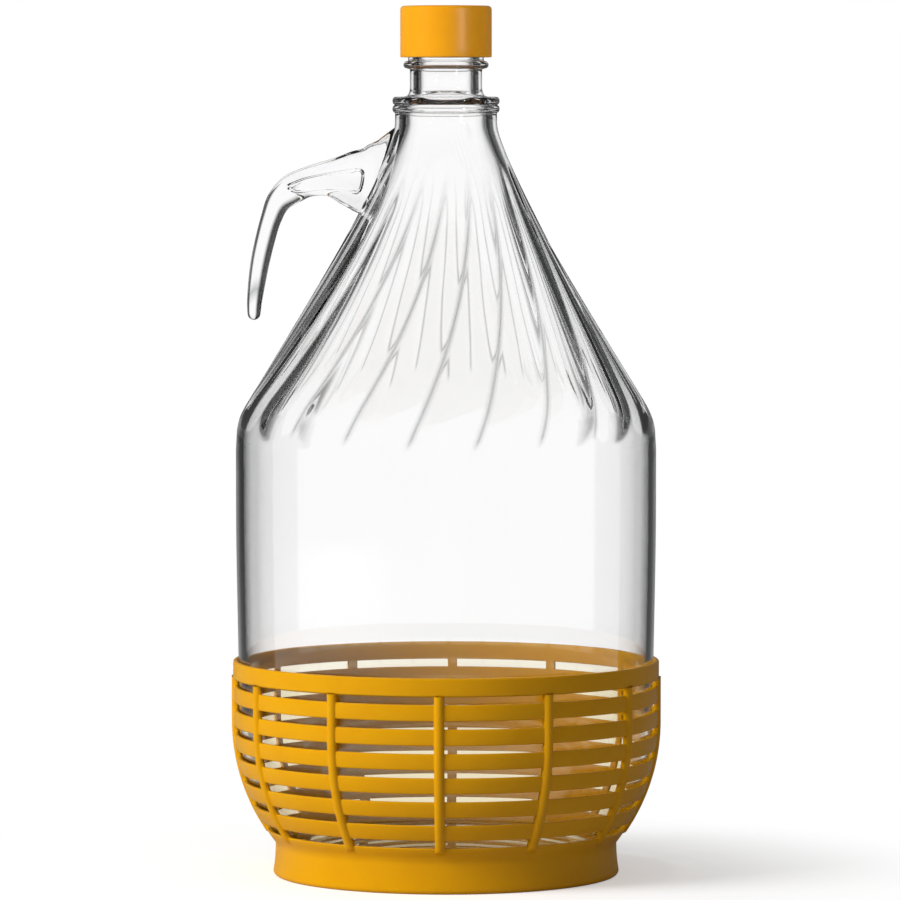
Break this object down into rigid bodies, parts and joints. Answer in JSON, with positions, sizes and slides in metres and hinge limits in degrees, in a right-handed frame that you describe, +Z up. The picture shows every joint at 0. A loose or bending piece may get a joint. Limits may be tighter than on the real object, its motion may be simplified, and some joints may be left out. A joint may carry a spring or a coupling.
{
  "type": "glass demijohn",
  "caption": "Clear glass demijohn with a swirled shoulder and a hook handle, standing in an openwork plastic basket, with a screw cap.",
  "frame": {"origin": "on the axis, at the surface that the basket's foot stands on", "axes": "+Z up along the bottle's axis, the handle towards -X, the front towards -Y"},
  "size_m": [0.1844, 0.1844, 0.3722],
  "materials": {
    "clear_glass": "clear, polished, slightly wavy inside",
    "yellow_plastic": "moulded, semi-gloss",
    "liner_foam": "foamed sealing disc",
    "orange_plastic": "moulded, semi-gloss"
  },
  "bodies": {
    "bottle": {"glass_bottle": "clear_glass", "basket": "yellow_plastic"},
    "liner": {"cap_liner": "liner_foam"},
    "cap": {"screw_cap": "orange_plastic"}
  },
  "joints": [
    {"name": "cap_lift", "type": "slide", "parent": "bottle", "child": "liner", "axis": [0, 0, 1], "range_m": [0, 0.03]},
    {"name": "cap_turn", "type": "hinge", "parent": "liner", "child": "cap", "pos_m": [0, 0, 0.36], "axis": [0, 0, 1], "range_deg": [0, 2701]}
  ],
  "couplings": [
    {"joint": "cap_turn", "follows": "cap_lift", "rad_per_m": 1570.8}
  ]
}
